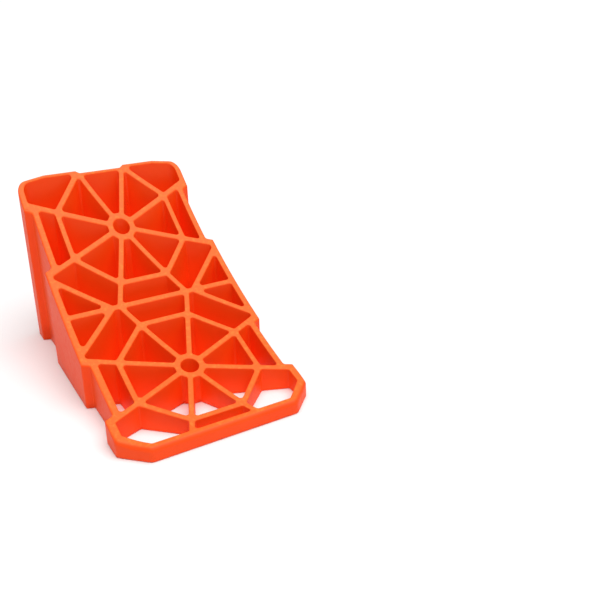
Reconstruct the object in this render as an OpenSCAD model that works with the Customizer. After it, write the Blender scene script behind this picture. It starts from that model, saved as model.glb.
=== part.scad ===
// Wheel chock: a moulded wedge with an open ribbed web and a hollowed ramp that fits a tyre.
// Millimetres. +Z is up, +Y runs from the thin toe to the tall heel, +X is to the right.
// The origin is the centre of the footprint, on the ground.
// The chock is one moulding. Each module below is one wall, rib group or hub of it, and
// neighbours meet face to face.

/* [Overall size] */
// Length from the toe to the heel
length = 184; // [184:0.2:188]
// Height of the heel
heel_h = 104.5; // [85:0.5:115]
// Height of the flat toe
toe_h = 8; // [6:0.5:10]
// Length of the flat part of the toe
toe_flat = 8; // [4:1:20]
// Radius of the tyre that the ramp fits
tyre_r = 375; // [330:5:450]

/* [Widths] */
// Width across the body
body_w = 108; // [107:0.5:110]
// Width across the toe
toe_w = 108.8; // [108:0.2:112]
// Width between the two side flutes
flute_w = 99.5; // [97:0.5:101]

/* [Walls and ribs] */
// Thickness of the ribs
rib_t = 3; // [2.4:0.1:3.6]
// Thickness of the side walls
wall_t = 4; // [3.2:0.1:4.6]
// Thickness of the side walls at the toe
toe_wall_t = 4.5; // [4:0.1:5.2]
// Thickness of the heel wall
heel_t = 2; // [1.8:0.1:3]
// Thickness of the bar along the toe
toe_bar_t = 4.6; // [4:0.1:5.4]
// Radius in the corners of the cells
cell_r = 1.5; // [0.5:0.1:1.6]

/* [Hubs and rings] */
// Distance between the two hubs
hub_pitch = 100; // [98:0.5:101]
// Outside diameter of a hub
hub_d = 17; // [15:0.5:19]
// Diameter of the hole through a hub
bore_d = 10; // [6:0.5:11]
// Width across the flats of the eight-sided rings, to the middle of the rib
ring_w = 70.4; // [68:0.2:72]

/* [Hidden] */
$fn = 96;
arc_fn = 24;
ramp_fn = 720;
half_l = length / 2;
sector = 45;
spoke_a = sector / 2;
rise = tan(spoke_a);
slant = cos(spoke_a);
cross_y = 5.4;
upper_y = cross_y + hub_pitch / 2;
lower_y = cross_y - hub_pitch / 2;
// end faces of the flutes, measured square to the spoke that meets them
heel_gap = 4 / slant;
flute_gap = 3.2 / slant;
// outline details: beyond heel_bend from the side, the heel leans in by heel_lean
edge_r = 1.2;
heel_r = 7;
heel_inner_r = 5;
heel_bend = 18;
heel_lean = 2.4;
heel_a = atan(heel_lean / heel_bend);
notch_w = 28.8;
notch_d = 1.4;
notch_slope = 1.2;
toe_r = 4;
toe_cut = 13.5;
toe_neck = 30;
window_cut = 11.2;
// diagonal ribs leave the cross rib here
diagonal_x = 25;
diagonal_a = 43.2;
toe_edge_r = 2.5;
// where one piece stops and the next begins
root = 3;
ear = 4;
hub_root = 12;
cross_root = 5;
ring_root = 1.3;
heel_root = 7.5;
flute_half = 13;
heel_side_y = upper_y + 26;
shoulder_half = 16;
toe_side_y = lower_y - 26;
corner_x = 36;
far = 200;
// where the inner faces of the heel and the side would meet
inner_heel_y = half_l - heel_t - (heel_bend - wall_t) * tan(heel_a);
// the tyre's centre, from the two ends of the curved ramp
run = length - toe_flat;
climb = heel_h - toe_h;
chord = norm([run, climb]);
reach = sqrt(tyre_r * tyre_r - chord * chord / 4);
tyre_y = toe_flat / 2 - reach * climb / chord;
tyre_z = (heel_h + toe_h) / 2 + reach * run / chord;
shell = [0.93, 0.30, 0.10];
shell_deep = [0.88, 0.24, 0.07];

// ---- plan of the moulding ----

// draws its child on the right, and again on the left
module both_sides() {
  children();
  mirror([1, 0]) children();
}

// sign is +1 at the heel side of a hub, -1 at its toe side
function flute_end(hub_y, sign, x, gap) = hub_y + sign * (x * rise - gap);

// what rounding takes off a heel corner whose two faces would meet at x, y
module heel_trim(x, y, r) {
  translate([x - r, y + r * tan(heel_a) - r / cos(heel_a)])
    difference() {
      polygon([[0, 0], [2 * r * sin(heel_a), 2 * r * cos(heel_a)], [2 * r, 2 * r], [2 * r, 0]]);
      circle(r);
    }
}

module half_body() {
  difference() {
    polygon([
      [0, half_l - notch_d],
      [notch_w / 2 - notch_slope, half_l - notch_d],
      [notch_w / 2 + notch_slope, half_l],
      [body_w / 2 - heel_bend, half_l],
      [body_w / 2, half_l - heel_lean],
      [body_w / 2, flute_end(upper_y, 1, body_w / 2, heel_gap)],
      [flute_w / 2, flute_end(upper_y, 1, flute_w / 2, heel_gap)],
      [flute_w / 2, flute_end(upper_y, -1, flute_w / 2, flute_gap)],
      [body_w / 2, flute_end(upper_y, -1, body_w / 2, flute_gap)],
      [body_w / 2, flute_end(lower_y, 1, body_w / 2, flute_gap)],
      [flute_w / 2, flute_end(lower_y, 1, flute_w / 2, flute_gap)],
      [flute_w / 2, lower_y - toe_neck],
      [0, lower_y - toe_neck],
    ]);
    heel_trim(body_w / 2, half_l - heel_lean, heel_r);
  }
}

// the toe is a little wider than the body, with cut corners
module half_toe() {
  polygon([
    [0, lower_y],
    [toe_neck, flute_end(lower_y, -1, toe_neck, flute_gap)],
    [toe_w / 2, flute_end(lower_y, -1, toe_w / 2, flute_gap)],
    [toe_w / 2, toe_cut - half_l],
    [toe_w / 2 - toe_cut, -half_l],
    [0, -half_l],
  ]);
}

// the footprint, with its corners eased
module outline() {
  offset(r = edge_r, $fn = arc_fn)
    offset(delta = -edge_r)
      both_sides() half_body();
  offset(r = toe_r, $fn = 2 * arc_fn)
    offset(delta = -toe_r)
      both_sides() half_toe();
}

// the space inside the walls, which the ribs divide
module cavity() {
  both_sides()
    difference() {
      polygon([
        [0, half_l - notch_d - heel_t],
        [notch_w / 2 - notch_slope, half_l - notch_d - heel_t],
        [notch_w / 2 + notch_slope, half_l - heel_t],
        [body_w / 2 - heel_bend, half_l - heel_t],
        [body_w / 2 - wall_t, inner_heel_y],
        [body_w / 2 - wall_t, flute_end(upper_y, 1, body_w / 2 - wall_t, 0)],
        [flute_w / 2 - wall_t, flute_end(upper_y, 1, flute_w / 2 - wall_t, 0)],
        [flute_w / 2 - wall_t, flute_end(upper_y, -1, flute_w / 2 - wall_t, 0)],
        [body_w / 2 - wall_t, flute_end(upper_y, -1, body_w / 2 - wall_t, 0)],
        [body_w / 2 - wall_t, flute_end(lower_y, 1, body_w / 2 - wall_t, 0)],
        [flute_w / 2 - wall_t, flute_end(lower_y, 1, flute_w / 2 - wall_t, 0)],
        [flute_w / 2 - wall_t, flute_end(lower_y, -1, flute_w / 2 - wall_t, 0)],
        [toe_w / 2 - toe_wall_t, flute_end(lower_y, -1, toe_w / 2 - toe_wall_t, 0)],
        [toe_w / 2 - toe_wall_t, toe_bar_t - half_l + window_cut],
        [toe_w / 2 - toe_wall_t - window_cut, toe_bar_t - half_l],
        [0, toe_bar_t - half_l],
      ]);
      heel_trim(body_w / 2 - wall_t, inner_heel_y, heel_inner_r);
    }
}

module octagon(across) {
  rotate(spoke_a) circle(r = across / 2 / slant, $fn = 8);
}

// a strip along each of a hub's eight spokes
module spoke_strips(width, start) {
  for (a = [spoke_a : sector : 360 - spoke_a])
    rotate(a) translate([start, -width / 2]) square([far, width]);
}

// the half of the plan on one side of the cross rib, sign +1 for the heel
module half_plan(sign, gap) {
  translate([-far, sign > 0 ? cross_y + gap : cross_y - gap - far]) square([2 * far, far]);
}

module hub_and_ring() {
  circle(d = hub_d);
  difference() {
    octagon(ring_w + rib_t);
    octagon(ring_w - rib_t);
  }
}

module half_ribs(hub_y, sign) {
  translate([0, hub_y]) hub_and_ring();
  intersection() {
    half_plan(sign, 0);
    translate([0, hub_y]) spoke_strips(rib_t, 0);
  }
}

module diagonal_strip(width) {
  for (a = [diagonal_a, -diagonal_a])
    translate([diagonal_x, cross_y]) rotate(a) translate([0, -width / 2]) square([far, width]);
}

module ribs() {
  half_ribs(upper_y, 1);
  half_ribs(lower_y, -1);
  translate([-far, cross_y - rib_t / 2]) square([2 * far, rib_t]);
  both_sides() diagonal_strip(rib_t);
}

// walls and ribs together, with the corners of every cell rounded
module web() {
  offset(r = -cell_r, $fn = arc_fn)
    offset(delta = cell_r)
      difference() {
        outline();
        difference() {
          cavity();
          ribs();
        }
      }
}

// ---- side view: what lies under the ramp ----

module ramp_profile() {
  difference() {
    union() {
      difference() {
        translate([-half_l, 0]) square([length, heel_h]);
        translate([tyre_y, tyre_z]) circle(tyre_r, $fn = ramp_fn);
      }
      translate([-half_l, 0]) square([length, toe_h]);
    }
    translate([-half_l, toe_h - toe_edge_r])
      difference() {
        translate([-1, 0]) square(toe_edge_r + 1);
        translate([toe_edge_r, 0]) circle(toe_edge_r);
      }
  }
}

// keeps the part of the web inside the plan given, and cuts it off at the ramp
module piece() {
  intersection() {
    rotate([90, 0, 90]) translate([0, 0, -far / 2]) linear_extrude(far) ramp_profile();
    linear_extrude(heel_h)
      intersection() {
        web();
        children();
      }
  }
}

// ---- where each piece lies in the plan ----

// the cells and the ribs between them, clear of the walls
module field() {
  intersection() {
    offset(delta = -root) cavity();
    translate([-far, -far]) square([2 * far, far + half_l - heel_root]);
  }
}

// a band across the plan between two distances from the toe, on the right-hand side
module wall_band(from_y, to_y) {
  difference() {
    translate([corner_x, from_y]) square([far, to_y - from_y]);
    field();
  }
}

module hub_zone(hub_y) {
  translate([0, hub_y]) circle(r = hub_root / slant, $fn = 8);
}

module spoke_zone(hub_y, sign) {
  intersection() {
    field();
    half_plan(sign, cross_root);
    translate([0, hub_y])
      difference() {
        spoke_strips(2 * ear, 0);
        circle(r = hub_root / slant, $fn = 8);
      }
  }
}

module ring_zone(hub_y) {
  intersection() {
    field();
    translate([0, hub_y])
      difference() {
        octagon(ring_w + rib_t + 2 * ring_root);
        octagon(ring_w - rib_t - 2 * ring_root);
        spoke_strips(2 * ear, 0);
      }
  }
}

module cross_zone() {
  intersection() {
    field();
    translate([-far, cross_y - cross_root]) square([2 * far, 2 * cross_root]);
  }
}

module diagonal_zone() {
  difference() {
    intersection() {
      field();
      diagonal_strip(2 * ear);
    }
    translate([-far, cross_y - cross_root]) square([2 * far, 2 * cross_root]);
  }
}

// ---- walls ----

module heel_wall()
  color(shell) piece()
    translate([-corner_x, half_l - heel_root]) square([2 * corner_x, far]);

module heel_corner()
  piece()
    difference() {
      translate([corner_x, heel_side_y]) square(far);
      field();
    }

module heel_corner_right() color(shell) heel_corner();
module heel_corner_left() color(shell) mirror([1, 0, 0]) heel_corner();

module heel_side() piece() wall_band(upper_y + flute_half, heel_side_y);
module heel_side_right() color(shell) heel_side();
module heel_side_left() color(shell) mirror([1, 0, 0]) heel_side();

module upper_flute() piece() wall_band(upper_y - flute_half, upper_y + flute_half);
module upper_flute_right() color(shell) upper_flute();
module upper_flute_left() color(shell) mirror([1, 0, 0]) upper_flute();

module upper_shoulder() piece() wall_band(cross_y + shoulder_half, upper_y - flute_half);
module upper_shoulder_right() color(shell) upper_shoulder();
module upper_shoulder_left() color(shell) mirror([1, 0, 0]) upper_shoulder();

module middle_side() piece() wall_band(cross_y - shoulder_half, cross_y + shoulder_half);
module middle_side_right() color(shell) middle_side();
module middle_side_left() color(shell) mirror([1, 0, 0]) middle_side();

module lower_shoulder() piece() wall_band(lower_y + flute_half, cross_y - shoulder_half);
module lower_shoulder_right() color(shell) lower_shoulder();
module lower_shoulder_left() color(shell) mirror([1, 0, 0]) lower_shoulder();

module lower_flute() piece() wall_band(lower_y - flute_half, lower_y + flute_half);
module lower_flute_right() color(shell) lower_flute();
module lower_flute_left() color(shell) mirror([1, 0, 0]) lower_flute();

module toe_side() piece() wall_band(toe_side_y, lower_y - flute_half);
module toe_side_right() color(shell) toe_side();
module toe_side_left() color(shell) mirror([1, 0, 0]) toe_side();

module toe_corner() piece() wall_band(toe_side_y - far, toe_side_y);
module toe_corner_right() color(shell) toe_corner();
module toe_corner_left() color(shell) mirror([1, 0, 0]) toe_corner();

module toe_bar()
  color(shell) piece()
    difference() {
      translate([-corner_x, -far]) square([2 * corner_x, far + lower_y]);
      field();
    }

// ---- hubs, spokes and rings ----

module hub(hub_y)
  difference() {
    piece() hub_zone(hub_y);
    translate([0, hub_y, -1]) cylinder(d = bore_d, h = heel_h + 2);
  }

module upper_hub() color(shell_deep) hub(upper_y);
module lower_hub() color(shell_deep) hub(lower_y);

module upper_spokes() color(shell_deep) piece() spoke_zone(upper_y, 1);
module lower_spokes() color(shell_deep) piece() spoke_zone(lower_y, -1);

module upper_ring() color(shell_deep) piece() ring_zone(upper_y);
module lower_ring() color(shell_deep) piece() ring_zone(lower_y);

// ---- ribs between the rings ----

module cross_rib() color(shell_deep) piece() cross_zone();

module diagonal_ribs_right() color(shell_deep) piece() diagonal_zone();
module diagonal_ribs_left() color(shell_deep) mirror([1, 0, 0]) piece() diagonal_zone();

heel_wall();
heel_corner_left();
heel_corner_right();
heel_side_left();
heel_side_right();
upper_flute_left();
upper_flute_right();
upper_shoulder_left();
upper_shoulder_right();
middle_side_left();
middle_side_right();
lower_shoulder_left();
lower_shoulder_right();
lower_flute_left();
lower_flute_right();
toe_side_left();
toe_side_right();
toe_corner_left();
toe_corner_right();
toe_bar();
upper_hub();
lower_hub();
upper_spokes();
lower_spokes();
upper_ring();
lower_ring();
cross_rib();
diagonal_ribs_left();
diagonal_ribs_right();
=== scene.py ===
"""Wheel chock: one satin orange moulding, with soft moulded edges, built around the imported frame.

The plan is worked out in millimetres from the same dimensions as the CAD part: the cells are what the ribs
leave of the space inside the walls. One closed mesh is made of it, and is then cut into one piece for each
CAD node.
"""

import math

import bmesh
import bpy
from mathutils import Matrix, Vector
from mathutils.geometry import delaunay_2d_cdt


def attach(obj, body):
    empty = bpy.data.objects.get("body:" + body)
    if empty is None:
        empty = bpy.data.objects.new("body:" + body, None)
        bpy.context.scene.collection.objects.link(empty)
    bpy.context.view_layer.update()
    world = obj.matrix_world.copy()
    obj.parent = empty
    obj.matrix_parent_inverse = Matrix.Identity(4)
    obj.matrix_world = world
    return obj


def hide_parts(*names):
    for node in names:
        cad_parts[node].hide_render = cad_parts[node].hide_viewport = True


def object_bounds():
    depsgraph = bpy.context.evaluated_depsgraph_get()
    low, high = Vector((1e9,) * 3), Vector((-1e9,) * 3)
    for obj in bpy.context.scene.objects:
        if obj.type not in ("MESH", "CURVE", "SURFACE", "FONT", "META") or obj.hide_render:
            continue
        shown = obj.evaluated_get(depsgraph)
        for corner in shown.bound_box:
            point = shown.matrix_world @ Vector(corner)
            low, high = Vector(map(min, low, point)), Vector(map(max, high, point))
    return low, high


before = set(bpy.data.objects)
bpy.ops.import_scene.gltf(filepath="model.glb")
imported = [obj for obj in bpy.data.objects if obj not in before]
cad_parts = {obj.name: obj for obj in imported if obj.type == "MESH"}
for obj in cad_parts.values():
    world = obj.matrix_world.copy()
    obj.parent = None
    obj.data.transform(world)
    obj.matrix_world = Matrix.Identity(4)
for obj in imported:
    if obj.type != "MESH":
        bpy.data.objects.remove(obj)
cad_low, cad_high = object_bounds()

MM = 0.001

# ---- the part's dimensions, in millimetres ----

LENGTH = (cad_high.y - cad_low.y) / MM
HEEL_H = (cad_high.z - cad_low.z) / MM
TOE_W = (cad_high.x - cad_low.x) / MM
TOE_H = 8
TOE_FLAT = 8
TYRE_R = 375
BODY_W = 108
FLUTE_W = 99.5
RIB_T = 3
WALL_T = 4
TOE_WALL_T = 4.5
HEEL_T = 2
TOE_BAR_T = 4.6
CELL_R = 1.5
HUB_PITCH = 100
HUB_D = 17
BORE_D = 10
RING_W = 70.4
CROSS_Y = 5.4
HALF_L = LENGTH / 2
UPPER_Y = CROSS_Y + HUB_PITCH / 2
LOWER_Y = CROSS_Y - HUB_PITCH / 2
SPOKES = 8
SPOKE_A = math.radians(180 / SPOKES)
RISE = math.tan(SPOKE_A)
SLANT = math.cos(SPOKE_A)
# how far the flutes' ends lie nearer the hub outside than inside
HEEL_GAP = 4 / SLANT
FLUTE_GAP = 3.2 / SLANT
EDGE_R = 1.2
TOE_R = 4
TOE_R_BELOW = 20  # in front of the lower hub
HEEL_R = 7
HEEL_INNER_R = 5
HEEL_BEND = 18
HEEL_LEAN = 2.4
HEEL_A = math.atan(HEEL_LEAN / HEEL_BEND)
NOTCH_X = 14.4
NOTCH_SLOPE = 1.2
NOTCH_IN = NOTCH_X - NOTCH_SLOPE
NOTCH_OUT = NOTCH_X + NOTCH_SLOPE
NOTCH_D = 1.4
TOE_CUT = 13.5
WINDOW_CUT = 11.2
DIAGONAL_X = 25
DIAGONAL_A = math.radians(43.2)
DIAGONAL_L = 60  # past the walls
RAMP_EASE = 3  # half the length of the eased crease at the foot of the ramp
# where one piece stops and the next begins
ROOT = 3
EAR = 4
HUB_ROOT = 12
CROSS_ROOT = 5
RING_ROOT = 1.3
HEEL_ROOT = 7.5
CORNER_X = 36
FLUTE_BAND = 13
END_BAND = 26
MIDDLE_BAND = 16
BANDS = (  # along the long sides, each with its end towards the toe
    ("heel_corner", UPPER_Y + END_BAND),
    ("heel_side", UPPER_Y + FLUTE_BAND),
    ("upper_flute", UPPER_Y - FLUTE_BAND),
    ("upper_shoulder", CROSS_Y + MIDDLE_BAND),
    ("middle_side", CROSS_Y - MIDDLE_BAND),
    ("lower_shoulder", LOWER_Y + FLUTE_BAND),
    ("lower_flute", LOWER_Y - FLUTE_BAND),
    ("toe_side", LOWER_Y - END_BAND),
    ("toe_corner", -math.inf),
)
# the moulding's softness
RIB_EDGE = 0.55
SIDE_EDGE = 1.3
HEEL_EDGE = 1.0
HEEL_EDGE_Y = (HALF_L - 8, HALF_L - 2)
TOE_EDGE = 2.8
TOE_EDGE_Y = (-86, -70)
BASE_EDGE = 0.35
SHOULDER = 0.5  # from the highest row of a wall up to its rounded edge
INNER_R = 0.9
DRAFT = 0.004
OUTER_DRAFT = 0.0035
# how finely the mesh follows the shape
STEP = 4
WALL_ROWS = 8
FILLET_STEP = math.radians(15)
HUB_STEP = math.radians(5)
BORE_STEPS = 64
HUB_SIDES = 96
HEEL_STEPS = 14
HEEL_INNER_STEPS = 12
CELL_EDGE_STEPS = 4
OUTER_EDGE_STEPS = 6
SHARP = math.radians(38)
GLOW_DEPTH = 25  # how deep in a cell the painted glow, which stands in for light through the ribs, is in full
# a frame and lines well outside the part, and the zones' prisms above and below it
FRAME_X = 80
FRAME_Y = 120
FAR = 150
CLEAR = 5
# tolerances
MERGE = 1e-4
SAME = 1e-5
TINY = 1e-6
STRAIGHT = 2e-3
ON_HUB = 0.03
LEAST_TURN = 0.3  # radians; smaller corners stay as they are
LINE_SHARE = 0.96  # how much of a side its two corners' arcs may take

# ---- the ramp ----

RUN = LENGTH - TOE_FLAT
CLIMB = HEEL_H - TOE_H
CHORD = math.hypot(RUN, CLIMB)
REACH = math.sqrt(TYRE_R**2 - CHORD**2 / 4)
TYRE_Y = TOE_FLAT / 2 - REACH * CLIMB / CHORD
TYRE_Z = (HEEL_H + TOE_H) / 2 + REACH * RUN / CHORD


def ramp(y):
    """Height of the ramp at y; the crease between it and the flat toe is eased."""
    start = TOE_FLAT - HALF_L
    slope = (start - TYRE_Y) / (TYRE_Z - TOE_H)
    if y <= start - RAMP_EASE:
        return TOE_H
    if y < start + RAMP_EASE:
        return TOE_H + slope * (y - start + RAMP_EASE) ** 2 / (4 * RAMP_EASE)
    return min(HEEL_H, TYRE_Z - math.sqrt(TYRE_R**2 - (y - TYRE_Y) ** 2))


# ---- the plan ----


def mirrored(half):
    """A closed outline from its right half, listed from the heel round to the toe."""
    return [Vector(p) for p in half] + [
        Vector((-x, y)) for x, y in reversed(half) if abs(x) > TINY
    ]


def flute_end(hub_y, sign, x, gap):
    """Where the line of the spoke beside a flute, less a gap, meets the side."""
    return hub_y + sign * (x * RISE - gap)


def heel_corner(x, top, r, steps):
    """The heel's right corner: its back face leans in, and an arc eases it into the side."""
    bend = BODY_W / 2 - HEEL_BEND
    cx = x - r
    cy = top - (cx - bend) * math.tan(HEEL_A) - r / math.cos(HEEL_A)
    turns = [(math.pi / 2 - HEEL_A) * (1 - i / steps) for i in range(steps + 1)]
    return [(bend, top)] + [(cx + r * math.cos(a), cy + r * math.sin(a)) for a in turns]


def side_half(body, flute, toe, heel_gap, flute_gap):
    """The right side's flutes and steps, from the heel to the toe."""
    return [
        (body, flute_end(UPPER_Y, 1, body, heel_gap)),
        (flute, flute_end(UPPER_Y, 1, flute, heel_gap)),
        (flute, flute_end(UPPER_Y, -1, flute, flute_gap)),
        (body, flute_end(UPPER_Y, -1, body, flute_gap)),
        (body, flute_end(LOWER_Y, 1, body, flute_gap)),
        (flute, flute_end(LOWER_Y, 1, flute, flute_gap)),
        (flute, flute_end(LOWER_Y, -1, flute, flute_gap)),
        (toe, flute_end(LOWER_Y, -1, toe, flute_gap)),
    ]


def outline_half():
    """The right half of the plan's outer edge."""
    body, flute, toe = BODY_W / 2, FLUTE_W / 2, TOE_W / 2
    return (
        [(0, HALF_L - NOTCH_D), (NOTCH_IN, HALF_L - NOTCH_D), (NOTCH_OUT, HALF_L)]
        + heel_corner(body, HALF_L, HEEL_R, HEEL_STEPS)
        + side_half(body, flute, toe, HEEL_GAP, FLUTE_GAP)
        + [(toe, TOE_CUT - HALF_L), (toe - TOE_CUT, -HALF_L), (0, -HALF_L)]
    )


def cavity_half():
    """The right half of the edge of the space inside the walls."""
    body, flute, toe = BODY_W / 2 - WALL_T, FLUTE_W / 2 - WALL_T, TOE_W / 2 - TOE_WALL_T
    back, front = HALF_L - HEEL_T, TOE_BAR_T - HALF_L
    return (
        [(0, back - NOTCH_D), (NOTCH_IN, back - NOTCH_D), (NOTCH_OUT, back)]
        + heel_corner(body, back, HEEL_INNER_R, HEEL_INNER_STEPS)
        + side_half(body, flute, toe, 0, 0)
        + [(toe, front + WINDOW_CUT), (toe - WINDOW_CUT, front), (0, front)]
    )


def inside(polygon, x, y):
    hit = False
    for i, b in enumerate(polygon):
        a = polygon[i - 1]
        if (a.y > y) != (b.y > y) and x < a.x + (y - a.y) * (b.x - a.x) / (b.y - a.y):
            hit = not hit
    return hit


def mitred(polygon, distance):
    """A clockwise polygon drawn in by a distance, or out where that is below zero."""
    polygon = [p for i, p in enumerate(polygon) if (p - polygon[i - 1]).length > TINY]
    made = []
    for i, p in enumerate(polygon):
        u = (p - polygon[i - 1]).normalized()
        v = (polygon[(i + 1) % len(polygon)] - p).normalized()
        m, n = Vector((u.y, -u.x)), Vector((v.y, -v.x))
        made.append(p + (m + n) * distance / (1 + m.dot(n)))
    return made


CAVITY = mirrored(cavity_half())
WITHIN = mitred(CAVITY, -HEEL_T / 2)
FIELD = mitred(CAVITY, ROOT)


def around_hub(x, y):
    """How far a point is from its hub: straight, along the nearest spoke, off that spoke, and square to the
    nearest side of the ring.
    """
    dx, dy = x, y - (UPPER_Y if y > CROSS_Y else LOWER_Y)
    r, a = math.hypot(dx, dy), math.atan2(dy, dx)
    sector = 2 * SPOKE_A
    spoke = a - (math.floor(a / sector) * sector + SPOKE_A)
    side = a - round(a / sector) * sector
    return r, r * math.cos(spoke), abs(r * math.sin(spoke)), r * math.cos(side)


def off_diagonal(x, y):
    dx, dy = abs(x) - DIAGONAL_X, abs(y - CROSS_Y)
    along = dx * math.cos(DIAGONAL_A) + dy * math.sin(DIAGONAL_A)
    off = abs(dy * math.cos(DIAGONAL_A) - dx * math.sin(DIAGONAL_A))
    return off if along > 0 else math.inf


def cell_at(x, y):
    """True where the plan is open, None where a wall, hub or rib stands."""
    if not inside(CAVITY, x, y) or abs(y - CROSS_Y) < RIB_T / 2:
        return None
    r, _, off, side = around_hub(x, y)
    if r < HUB_D / 2 or off < RIB_T / 2 or abs(side - RING_W / 2) < RIB_T / 2:
        return None
    return None if off_diagonal(x, y) < RIB_T / 2 else True


def node_at(x, y):
    """The CAD node whose part of the plan holds a point, or None between them."""
    side = "_right" if x > 0 else "_left"
    if y < HALF_L - HEEL_ROOT and inside(FIELD, x, y):
        hub = "upper" if y > CROSS_Y else "lower"
        if abs(y - CROSS_Y) < CROSS_ROOT:
            return "cross_rib"
        _, along, off, across = around_hub(x, y)
        if along < HUB_ROOT:
            return hub + "_hub"
        if off < EAR:
            return hub + "_spokes"
        if abs(across - RING_W / 2) < RIB_T / 2 + RING_ROOT:
            return hub + "_ring"
        return "diagonal_ribs" + side if off_diagonal(x, y) < EAR else None
    if abs(x) > CORNER_X:
        return next(name for name, low in BANDS if y > low) + side
    if y > HALF_L - HEEL_ROOT:
        return "heel_wall"
    return "toe_bar" if y < LOWER_Y else None


def closed(points):
    return list(points) + [points[0]]


def spokes(hub_y, sign, width):
    """Both edges of each of a hub's spokes, which end at the middle of the cross rib."""
    for i in range(SPOKES):
        a = SPOKE_A * (2 * i + 1)
        d, n = Vector((math.cos(a), math.sin(a))), Vector((-math.sin(a), math.cos(a)))
        for s in (-0.5, 0.5):
            start = Vector((0, hub_y)) + n * width * s
            reach = FAR
            if d.y * sign < 0:
                reach = (CROSS_Y - start.y) / d.y
            yield [start, start + d * reach]


def ring(hub_y, across, turn):
    """A regular outline round a hub, with one side for each spoke."""
    r = across / 2 / SLANT
    turns = [turn + 2 * SPOKE_A * i for i in range(SPOKES)]
    return closed([Vector((r * math.cos(a), hub_y + r * math.sin(a))) for a in turns])


def diagonals(width):
    """Both edges of each of the four diagonal ribs."""
    run = Vector((math.cos(DIAGONAL_A), math.sin(DIAGONAL_A))) * DIAGONAL_L
    for sx in (-1, 1):
        for sy in (-1, 1):
            for s in (-0.5, 0.5):
                x = DIAGONAL_X - s * width * math.sin(DIAGONAL_A)
                y = s * width * math.cos(DIAGONAL_A)
                yield [
                    Vector((sx * x, CROSS_Y + sy * y)),
                    Vector((sx * (x + run.x), CROSS_Y + sy * (y + run.y))),
                ]


def level(y):
    return [Vector((-FRAME_X, y)), Vector((FRAME_X, y))]


def upright(x):
    return [Vector((x, -FRAME_Y)), Vector((x, FRAME_Y))]


def circle(r, count):
    turns = [2 * math.pi * i / count for i in range(count)]
    return [Vector((math.cos(a), math.sin(a))) * r for a in turns]


def cell_lines():
    lines = [closed(CAVITY), level(CROSS_Y - RIB_T / 2), level(CROSS_Y + RIB_T / 2)]
    for hub_y, sign in ((UPPER_Y, 1), (LOWER_Y, -1)):
        hub = [p + Vector((0, hub_y)) for p in circle(HUB_D / 2, HUB_SIDES)]
        lines.append(closed(hub))
        lines += [ring(hub_y, RING_W + s * RIB_T, SPOKE_A) for s in (-1, 1)]
        lines += spokes(hub_y, sign, RIB_T)
    return lines + list(diagonals(RIB_T))


def zone_lines():
    lines = [closed(FIELD), level(CROSS_Y), level(HALF_L - HEEL_ROOT), level(LOWER_Y)]
    lines += [level(CROSS_Y + s * CROSS_ROOT) for s in (-1, 1)]
    lines += [level(y) for _, y in BANDS[:-1]]
    lines += [closed([*level(-FRAME_Y), *reversed(level(FRAME_Y))])]
    lines += [upright(x) for x in (-CORNER_X, 0, CORNER_X)]
    for hub_y, sign in ((UPPER_Y, 1), (LOWER_Y, -1)):
        lines.append(ring(hub_y, 2 * HUB_ROOT, 0))
        for s in (-1, 1):
            lines.append(ring(hub_y, RING_W + s * (RIB_T + 2 * RING_ROOT), SPOKE_A))
        lines += spokes(hub_y, sign, 2 * EAR)
    return lines + list(diagonals(2 * EAR))


def arrangement(lines, label):
    """Cuts the plan along the lines. Returns its points, and the triangles that have each label."""
    points, edges = [], []
    for line in lines:
        start = len(points)
        points += line
        edges += [(start + i, start + i + 1) for i in range(len(line) - 1)]
    verts, _, faces, _, _, _ = delaunay_2d_cdt(points, edges, [], 0, MERGE)
    found = {}
    for face in faces:
        a, b, c = (verts[i] for i in face)
        if abs((b - a).cross(c - a)) < TINY:
            continue
        if (b - a).cross(c - a) < 0:
            face = face[::-1]
        centre = (a + b + c) / 3
        name = label(centre.x, centre.y)
        if name is not None:
            found.setdefault(name, []).append(tuple(face))
    return verts, found


def rims(faces):
    """The closed loops round a set of triangles, which lie on the loops' left."""
    edges = {(f[i], f[(i + 1) % 3]) for f in faces for i in range(3)}
    after = {a: b for a, b in edges if (b, a) not in edges}
    loops = []
    for first in sorted(after):
        if first not in after:
            continue
        loop, b = [first], after.pop(first)
        while b != first:
            loop.append(b)
            b = after.pop(b)
        loops.append(loop)
    return loops


def without_straights(loop):
    made = []
    for i, p in enumerate(loop):
        u = (p - loop[i - 1]).normalized()
        v = (loop[(i + 1) % len(loop)] - p).normalized()
        if abs(u.cross(v)) > STRAIGHT:
            made.append(p)
    return made


# ---- loops with rounded corners ----


def left(v):
    return Vector((-v.y, v.x))


def hub_of(p, q):
    for y in (UPPER_Y, LOWER_Y):
        h = Vector((0, y))
        if all(abs((v - h).length - HUB_D / 2) < ON_HUB for v in (p, q)):
            return h
    return None


class Part:
    """One side of a loop: a straight line, or an arc of a hub."""

    def __init__(self, a, b):
        self.a, self.b, self.hub = a, b, hub_of(a, b)

    def way(self, p):
        """The loop's direction at a point of this side."""
        if self.hub is None:
            return (self.b - self.a).normalized()
        return -left((p - self.hub).normalized())


def parts_of(loop):
    """The sides of a loop, with the short chords round a hub joined to one arc."""
    sides = [Part(p, loop[(i + 1) % len(loop)]) for i, p in enumerate(loop)]
    while sides[0].hub is not None and sides[-1].hub is not None:
        sides = sides[1:] + sides[:1]
    made = []
    for s in sides:
        if made and s.hub is not None and made[-1].hub is not None:
            made[-1].b = s.b
        else:
            made.append(s)
    return made


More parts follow.
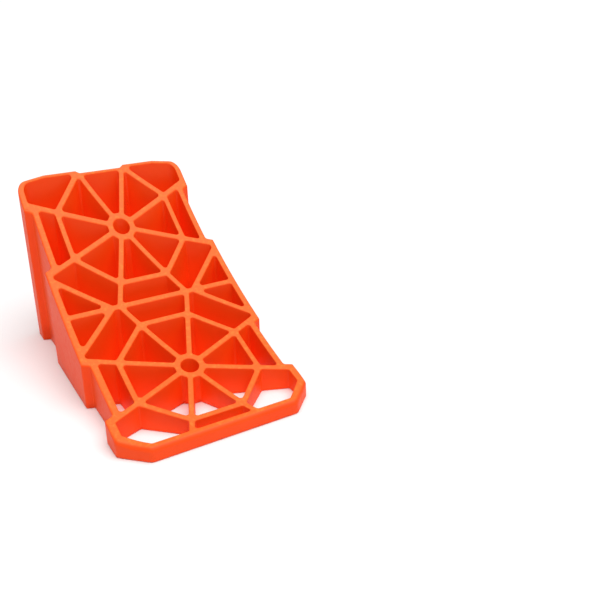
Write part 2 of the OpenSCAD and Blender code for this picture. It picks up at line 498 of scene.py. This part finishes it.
def fillet(before, after, r):
    """Centre and two ends of the arc that eases one corner, and 1 if the corner turns left or -1 if right."""
    v = after.a
    u, w = before.way(v), after.way(v)
    s = 1 if u.cross(w) > 0 else -1
    m, n = left(u), left(w)
    if before.hub is None and after.hub is None:
        c = v + (m + n) * r * s / (1 + m.dot(n))
        return c, c - m * r * s, c - n * r * s, s
    line, hub = (before, after.hub) if before.hub is None else (after, before.hub)
    d = line.way(v)
    start = v + left(d) * r - hub
    far = HUB_D / 2 + r
    half = start.dot(d)
    root = math.sqrt(max(0.0, half * half - start.dot(start) + far * far))
    t = min((-half - root, -half + root), key=abs)
    c = hub + start + d * t
    on_line, on_hub = c - left(d) * r, hub + (c - hub) * (HUB_D / 2) / far
    return (c, on_line, on_hub, 1) if line is before else (c, on_hub, on_line, 1)


def stations(loop, radius):
    """Points round a loop with its corners eased and the void on its left.

    Each is a point, the normal into the solid, and None or what drawing in a corner that turns right takes:
    the arc's centre and radius, the way in from there, and the sharp corner.
    """
    parts = parts_of(loop)
    count = len(parts)
    turns, rs = [], []
    for i, after in enumerate(parts):
        u, w = parts[i - 1].way(after.a), after.way(after.a)
        turn = math.atan2(u.cross(w), u.dot(w))
        turns.append(turn)
        rs.append(radius(after.a, turn) if abs(turn) > LEAST_TURN else 0.0)
    for i, part in enumerate(parts):
        if part.hub is None:
            j = (i + 1) % count
            need = sum(rs[k] * math.tan(abs(turns[k]) / 2) for k in (i, j))
            room = LINE_SHARE * (part.b - part.a).length
            if need > room:
                rs[i] *= room / need
                rs[j] *= room / need
    made, ends = [], []
    for i, after in enumerate(parts):
        if rs[i] > 0:
            ends.append(fillet(parts[i - 1], after, rs[i]))
        else:
            ends.append((None, after.a, after.a, 0))
    for i, part in enumerate(parts):
        c, p, q, s = ends[i]
        if s == 0:
            n = -(left(parts[i - 1].way(p)) + left(part.way(p))).normalized()
            made.append((p, n, None))
        else:
            a, b = (p - c) / rs[i], (q - c) / rs[i]
            angle = math.atan2(a.cross(b), a.dot(b))
            steps = max(2, math.ceil(abs(angle) / FILLET_STEP))
            corner = None
            if s < 0:
                m, n = -a, -b
                corner = (c, rs[i], (m + n) / (1 + m.dot(n)), part.a)
            for k in range(steps + 1):
                d = Matrix.Rotation(angle * k / steps, 2) @ a
                made.append((c + d * rs[i], d * s, corner))
        start, stop = q, ends[(i + 1) % count][1]
        if part.hub is None:
            steps = max(1, math.ceil((stop - start).length / STEP))
            n = -left(part.way(start))
            made += [(start.lerp(stop, k / steps), n, None) for k in range(1, steps)]
        else:
            a, b = (start - part.hub).normalized(), (stop - part.hub).normalized()
            angle = math.atan2(a.cross(b), a.dot(b))
            steps = max(1, math.ceil(abs(angle) / HUB_STEP))
            for k in range(1, steps):
                d = Matrix.Rotation(angle * k / steps, 2) @ a
                made.append((part.hub + d * HUB_D / 2, -d, None))
    return made


def inset(station, distance):
    """Where a station lies once its loop is drawn into the solid by a distance."""
    p, n, corner = station
    if corner is not None and distance > corner[1]:
        return corner[0] + corner[2] * (distance - corner[1])
    return p + n * distance


def blend(y, low, high):
    """Eases from 0 at low to 1 at high."""
    t = min(1.0, max(0.0, (y - low) / (high - low)))
    return t * t * (3 - 2 * t)


def rib_edge(_):
    return RIB_EDGE


def outer_edge(station):
    """How far the top edge of the outer wall is rounded."""
    y = (station[2][3] if station[2] else station[0]).y
    soft = TOE_EDGE + (SIDE_EDGE - TOE_EDGE) * blend(y, *TOE_EDGE_Y)
    return soft + (HEEL_EDGE - SIDE_EDGE) * blend(y, *HEEL_EDGE_Y)


def outer_radius(p, turn):
    if turn > 0:
        return CELL_R
    return TOE_R if p.y < LOWER_Y - TOE_R_BELOW else EDGE_R


def cell_radius(p, turn):
    return CELL_R if turn > 0 else INNER_R


# ---- the whole moulding as one closed mesh ----


def surface_rows(loop, edge, draft, steps):
    """Rows of points from the base to the top of the wall round one loop.

    A cell's wall keeps its place at the top and thickens towards the base. The outer wall, with the draft
    below zero, keeps its place at the base and leans in towards the top.
    """
    rows = [[] for _ in range(WALL_ROWS + steps + 2)]
    for s in loop:
        r = edge(s)
        shoulder = ramp(s[0].y) - r
        drop = draft * shoulder
        top = max(0.0, -drop)
        low = inset(s, top - abs(drop) + BASE_EDGE)
        rows[0].append((low.x, low.y, 0.0))
        for k in range(WALL_ROWS):
            z = BASE_EDGE + (shoulder - SHOULDER - BASE_EDGE) * k / (WALL_ROWS - 1)
            wall = inset(s, top - abs(draft) * (shoulder - z))
            rows[1 + k].append((wall.x, wall.y, z))
        for k in range(steps + 1):
            a = math.radians(90 * k / steps)
            p = inset(s, top + r * (1 - math.cos(a)))
            rows[WALL_ROWS + 1 + k].append((p.x, p.y, ramp(p.y) - r * (1 - math.sin(a))))
    return rows


def flat_cap(bm, loops, upwards):
    """Fills the plan between the loops with triangles, and leaves the cells open.

    Each loop has the solid on its right, so the fill starts at the loops and spreads until it meets them.
    """
    points, edges, verts = [], [], []
    for loop in loops:
        start = len(points)
        points += [Vector(v.co.xy) for v in loop]
        verts += loop
        edges += [
            (start + i, start + (i + 1) % len(loop)) for i in range(len(loop))
        ]
    _, _, faces, origins, _, _ = delaunay_2d_cdt(points, edges, [], 0, TINY)
    triangles = {}
    to_new = {old: new for new, olds in enumerate(origins) for old in olds}
    walls = {(to_new[a], to_new[b]) for a, b in edges}
    solid, by_edge = set(), {}
    for i, f in enumerate(faces):
        a, b, c = (points[origins[j][0]] for j in f)
        f = tuple(f) if (b - a).cross(c - a) > 0 else tuple(f[::-1])
        triangles[i] = f
        for k in range(3):
            edge = (f[k], f[(k + 1) % 3])
            by_edge[edge] = i
            if edge[::-1] in walls:
                solid.add(i)
    queue = sorted(solid)
    while queue:
        f = triangles[queue.pop()]
        for k in range(3):
            edge = (f[k], f[(k + 1) % 3])
            other = by_edge.get(edge[::-1])
            if edge in walls or edge[::-1] in walls or other is None or other in solid:
                continue
            solid.add(other)
            queue.append(other)
    for i in sorted(solid):
        corners = [verts[origins[j][0]] for j in triangles[i]]
        bm.faces.new(corners if upwards else corners[::-1])


def wall_loops():
    """Every loop of walls: its stations, its top edge's radius, its draft, and the steps of that edge."""
    verts, found = arrangement(cell_lines(), cell_at)
    for rim in rims(found[True]):
        loop = without_straights([verts[i] for i in rim])
        yield stations(loop, cell_radius), rib_edge, DRAFT, CELL_EDGE_STEPS
    for hub_y in (UPPER_Y, LOWER_Y):
        ways = circle(1, BORE_STEPS)
        bore = [(Vector((0, hub_y)) + d * BORE_D / 2, d, None) for d in ways]
        yield bore, rib_edge, 0.0, CELL_EDGE_STEPS
    outer = without_straights(mirrored(outline_half()))
    yield stations(outer, outer_radius), outer_edge, -OUTER_DRAFT, OUTER_EDGE_STEPS


def row_of_verts(bm, row):
    """One vertex for each point, and the same one where a point repeats the point before it."""
    made = []
    for i, p in enumerate(row):
        if made and (Vector(p) - Vector(row[i - 1])).length < SAME:
            made.append(made[-1])
        elif i == len(row) - 1 and (Vector(p) - Vector(row[0])).length < SAME:
            made.append(made[0])
        else:
            made.append(bm.verts.new(p))
    return made


def wall_between(bm, low, high):
    for i in range(len(low)):
        j = (i + 1) % len(low)
        corners = [low[i], high[i], high[j], low[j]]
        face = [v for k, v in enumerate(corners) if v is not corners[k - 1]]
        if len(face) > 2:
            bm.faces.new(face)


def moulding():
    bm = bmesh.new()
    tops, bottoms = [], []
    for loop, edge, draft, steps in wall_loops():
        grid = [row_of_verts(bm, row) for row in surface_rows(loop, edge, draft, steps)]
        for low, high in zip(grid, grid[1:]):
            wall_between(bm, low, high)
        for caps, row in ((bottoms, grid[0]), (tops, grid[-1])):
            caps.append([v for i, v in enumerate(row) if v is not row[i - 1]])
    flat_cap(bm, tops, True)
    flat_cap(bm, bottoms, False)
    open_edges = [e for e in bm.edges if not e.is_manifold]
    if open_edges:
        spots = [tuple(round(x, 2) for x in e.verts[0].co) for e in open_edges[:8]]
        raise RuntimeError(f"the moulding isn't closed at {len(open_edges)} edges: {spots}")
    return bm


# ---- one piece for each CAD node ----


def prism(verts, faces):
    """The triangles of one zone of the plan, drawn up through the whole height."""
    bm = bmesh.new()
    used = sorted({i for f in faces for i in f})
    low = {i: bm.verts.new((*verts[i], -CLEAR)) for i in used}
    high = {i: bm.verts.new((*verts[i], HEEL_H + CLEAR)) for i in used}
    edges = {(f[i], f[(i + 1) % 3]) for f in faces for i in range(3)}
    for f in faces:
        bm.faces.new([high[i] for i in f])
        bm.faces.new([low[i] for i in reversed(f)])
    for a, b in sorted(edges):
        if (b, a) not in edges:
            bm.faces.new((low[a], low[b], high[b], high[a]))
    return bm


def object_from(bm, name):
    """A mesh in millimetres as an object in metres."""
    bmesh.ops.scale(bm, vec=(MM, MM, MM), verts=bm.verts)
    mesh = bpy.data.meshes.new(name)
    bm.to_mesh(mesh)
    bm.free()
    made = bpy.data.objects.new(name, mesh)
    bpy.context.scene.collection.objects.link(made)
    return made


def common(whole, cutter, name):
    """What two closed meshes share, as a new object."""
    made = whole.copy()
    made.data = whole.data.copy()
    bpy.context.scene.collection.objects.link(made)
    made.modifiers.clear()
    cut = made.modifiers.new("zone", "BOOLEAN")
    cut.operation = "INTERSECT"
    cut.solver = "EXACT"
    cut.object = cutter
    graph = bpy.context.evaluated_depsgraph_get()
    mesh = bpy.data.meshes.new_from_object(made.evaluated_get(graph))
    bpy.data.objects.remove(made)
    mesh.name = name
    piece = bpy.data.objects.new(name, mesh)
    bpy.context.scene.collection.objects.link(piece)
    return piece


def soft_normals(mesh):
    mesh.shade_smooth()
    mesh.set_sharp_from_angle(angle=SHARP)


def share_normals(piece, whole):
    """Shades a piece with the whole moulding's normals, so that no seam shows between two pieces."""
    share = piece.modifiers.new("normals", "DATA_TRANSFER")
    share.object = whole
    share.use_loop_data = True
    share.data_types_loops = {"CUSTOM_NORMAL"}
    share.loop_mapping = "POLYINTERP_NEAREST"
    graph = bpy.context.evaluated_depsgraph_get()
    mesh = bpy.data.meshes.new_from_object(
        piece.evaluated_get(graph), preserve_all_data_layers=True, depsgraph=graph
    )
    piece.modifiers.clear()
    cut = piece.data
    piece.data = mesh
    bpy.data.meshes.remove(cut)
    mesh.name = piece.name


def build_pieces(material):
    """Cuts the moulding into one piece for each CAD node."""
    whole = object_from(moulding(), "whole")
    soft_normals(whole.data)
    weigh = whole.modifiers.new("normals", "WEIGHTED_NORMAL")
    weigh.mode = "FACE_AREA_WITH_ANGLE"
    weigh.keep_sharp = True
    verts, zones = arrangement(zone_lines(), node_at)
    for name in sorted(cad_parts):
        cutter = object_from(prism(verts, zones[name]), "zone")
        piece = common(whole, cutter, "moulded_" + name)
        bpy.data.objects.remove(cutter)
        finish_mesh(piece.data, material)
        share_normals(piece, whole)
        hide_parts(name)
        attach(piece, "root")
    bpy.data.objects.remove(whole)


def finish_mesh(mesh, material):
    """Smooth shading, and what the material reads of each point.

    That is how deep the point lies under the ramp, in millimetres, and how much painted glow it has, which
    stands in for light through the ribs: none outside the cells.
    """
    mesh.materials.clear()
    mesh.materials.append(material)
    soft_normals(mesh)
    points = [v.co / MM for v in mesh.vertices]
    depths = [ramp(p.y) - p.z for p in points]
    glows = [
        min(1.0, depth / GLOW_DEPTH) * inside(WITHIN, p.x, p.y)
        for p, depth in zip(points, depths)
    ]
    for name, values in (("depth", depths), ("glow", glows)):
        mesh.attributes.new(name, "FLOAT", "POINT").data.foreach_set("value", values)


# ---- materials ----


def node(tree, kind, **inputs):
    """A shader node with values on its inputs: an underscore in a name stands for a space."""
    made = tree.nodes.new(kind)
    for key, value in inputs.items():
        made.inputs[key.replace("_", " ")].default_value = value
    return made


def noise(tree, place, **inputs):
    made = node(tree, "ShaderNodeTexNoise", **inputs)
    tree.links.new(place.outputs["Object"], made.inputs["Vector"])
    return made.outputs["Fac"]


def attribute(tree, name):
    made = tree.nodes.new("ShaderNodeAttribute")
    made.attribute_name = name
    return made.outputs["Fac"]


def fitted(tree, value, low, high, at_low, at_high):
    """Maps a value from one range to another, and stops at the ends."""
    made = node(
        tree,
        "ShaderNodeMapRange",
        From_Min=low,
        From_Max=high,
        To_Min=at_low,
        To_Max=at_high,
    )
    tree.links.new(value, made.inputs["Value"])
    return made.outputs["Result"]


def tinted(tree, value, *stops):
    """The colour that lies between two stops, each a position and a colour."""
    made = tree.nodes.new("ShaderNodeValToRGB")
    for element, (position, colour) in zip(made.color_ramp.elements, stops):
        element.position = position
        element.color = colour
    tree.links.new(value, made.inputs["Fac"])
    return made.outputs["Color"]


def mixed(tree, factor, a, b):
    """Mixes two colours, of which the first may be the output of a node."""
    made = tree.nodes.new("ShaderNodeMix")
    made.data_type = "RGBA"
    tree.links.new(factor, made.inputs["Factor"])
    if isinstance(a, tuple):
        made.inputs["A"].default_value = a
    else:
        tree.links.new(a, made.inputs["A"])
    made.inputs["B"].default_value = b
    return made.outputs["Result"]


def bumped(tree, height, strength, distance):
    made = node(tree, "ShaderNodeBump", Strength=strength, Distance=distance)
    tree.links.new(height, made.inputs["Height"])
    return made


def new_material(name):
    """A material, its node tree, its shader's inputs and its texture coordinates."""
    material = bpy.data.materials.new(name)
    material.use_nodes = True
    tree = material.node_tree
    inputs = tree.nodes["Principled BSDF"].inputs
    return material, tree, inputs, tree.nodes.new("ShaderNodeTexCoord")


def plastic():
    """Satin moulded polypropylene: a fine grain, faint flow marks, and rib tops with light scuffs and a
    painted highlight that makes every top paler.

    A faint painted glow, an emission on the cells' walls, stands in for the light that comes through the thin
    ribs.
    """
    material, tree, inputs, place = new_material("orange_plastic")
    link = tree.links.new
    inputs["Specular IOR Level"].default_value = 0.24

    flow = noise(tree, place, Scale=38.0, Detail=3.0, Roughness=0.5)
    scuff = noise(tree, place, Scale=420.0, Detail=5.0, Roughness=0.65)
    grain = noise(tree, place, Scale=1500.0, Detail=3.0, Roughness=0.6)

    orange = tinted(
        tree, flow, (0.3, (0.975, 0.066, 0.0015, 1)), (0.72, (0.985, 0.076, 0.0025, 1))
    )
    # Scuffs and painted highlight: every face within 0.7 mm of the ramp's top is mixed a quarter to three
    # fifths of the way to pale orange, more where the scuff noise is high, so the tops read paler as if lit
    # from above.
    scuffs_and_top_highlight = tree.nodes.new("ShaderNodeMath")
    scuffs_and_top_highlight.operation = "MULTIPLY"
    link(fitted(tree, attribute(tree, "depth"), 0.0, 0.7, 1.0, 0.0), scuffs_and_top_highlight.inputs[0])
    link(fitted(tree, scuff, 0.5, 0.75, 0.25, 0.6), scuffs_and_top_highlight.inputs[1])
    link(
        mixed(tree, scuffs_and_top_highlight.outputs[0], orange, (0.98, 0.35, 0.06, 1)),
        inputs["Base Color"],
    )

    # Painted glow: a faint red emission on the cells' walls, stronger deeper in, stands in for light through
    # the thin ribs.
    painted_glow = mixed(tree, attribute(tree, "glow"), (0, 0, 0, 1), (1, 0.06, 0.003, 1))
    link(painted_glow, inputs["Emission Color"])
    inputs["Emission Strength"].default_value = 0.1

    link(fitted(tree, scuff, 0.3, 0.7, 0.44, 0.58), inputs["Roughness"])
    wave = bumped(tree, flow, 0.25, 0.0006)
    bump = bumped(tree, grain, 0.18, 0.00008)
    link(wave.outputs["Normal"], bump.inputs["Normal"])
    link(bump.outputs["Normal"], inputs["Normal"])
    return material


def paper():
    """The pale studio floor."""
    material, tree, inputs, place = new_material("studio_paper")
    inputs["Roughness"].default_value = 0.85
    mottle = noise(tree, place, Scale=9.0, Detail=4.0)
    tint = tinted(tree, mottle, (0, (0.89, 0.89, 0.89, 1)), (1, (0.92, 0.92, 0.92, 1)))
    tree.links.new(tint, inputs["Base Color"])
    return material


# ---- the studio ----


def floor():
    """A sheet 60 m to each side, so that its edge is far off in every view."""
    bm = bmesh.new()
    bmesh.ops.create_grid(bm, x_segments=8, y_segments=8, size=60 / MM)
    made = object_from(bm, "floor")
    made.location.z = -0.0002
    made.data.materials.append(paper())


def sun(name, spot, strength, spread):
    """Soft light from the direction of a spot; the spread is the sun's apparent size in degrees."""
    light = bpy.data.lights.new(name, "SUN")
    light.energy = strength
    light.angle = math.radians(spread)
    made = bpy.data.objects.new(name, light)
    made.location = spot
    made.rotation_euler = Vector(spot).to_track_quat("Z", "Y").to_euler()
    bpy.context.scene.collection.objects.link(made)


def backdrop(light, seen):
    """A plain white surround that lights the part softly and looks paler than the light that it gives."""
    world = bpy.data.worlds.new("studio")
    world.use_nodes = True
    tree = world.node_tree
    sky = tree.nodes["Background"]
    sky.inputs["Color"].default_value = (1, 1, 1, 1)
    path = tree.nodes.new("ShaderNodeLightPath")
    strength = fitted(tree, path.outputs["Is Camera Ray"], 0.0, 1.0, light, seen)
    tree.links.new(strength, sky.inputs["Strength"])
    bpy.context.scene.world = world


def studio():
    floor()
    sun("overhead", (0.08, -0.26, 1.0), 2.85, 64)
    backdrop(0.34, 0.95)
    bpy.context.scene.view_settings.view_transform = "Standard"


def camera():
    """The photograph's viewing angle: from the toe's left, looking down on the ramp."""
    heading, pitch, roll = map(math.radians, (31.043, 20.843, -0.932))
    level_way = Vector((math.sin(heading), math.cos(heading), 0))
    ahead = level_way * math.cos(pitch) - Vector((0, 0, math.sin(pitch)))
    right = Vector((math.cos(heading), -math.sin(heading), 0))
    up = right.cross(ahead)
    across = right * math.cos(roll) + up * math.sin(roll)
    above = up * math.cos(roll) - right * math.sin(roll)
    data = bpy.data.cameras.new("camera")
    data.sensor_width = 36
    data.lens = 43.445
    data.shift_y = -0.0686
    data.clip_start = 0.01
    made = bpy.data.objects.new("camera", data)
    turn = Matrix((across, above, -ahead)).transposed().to_4x4()
    made.matrix_world = Matrix.Translation((-0.13041, -0.38716, 0.21529)) @ turn
    bpy.context.scene.collection.objects.link(made)
    bpy.context.scene.camera = made


build_pieces(plastic())
studio()
camera()
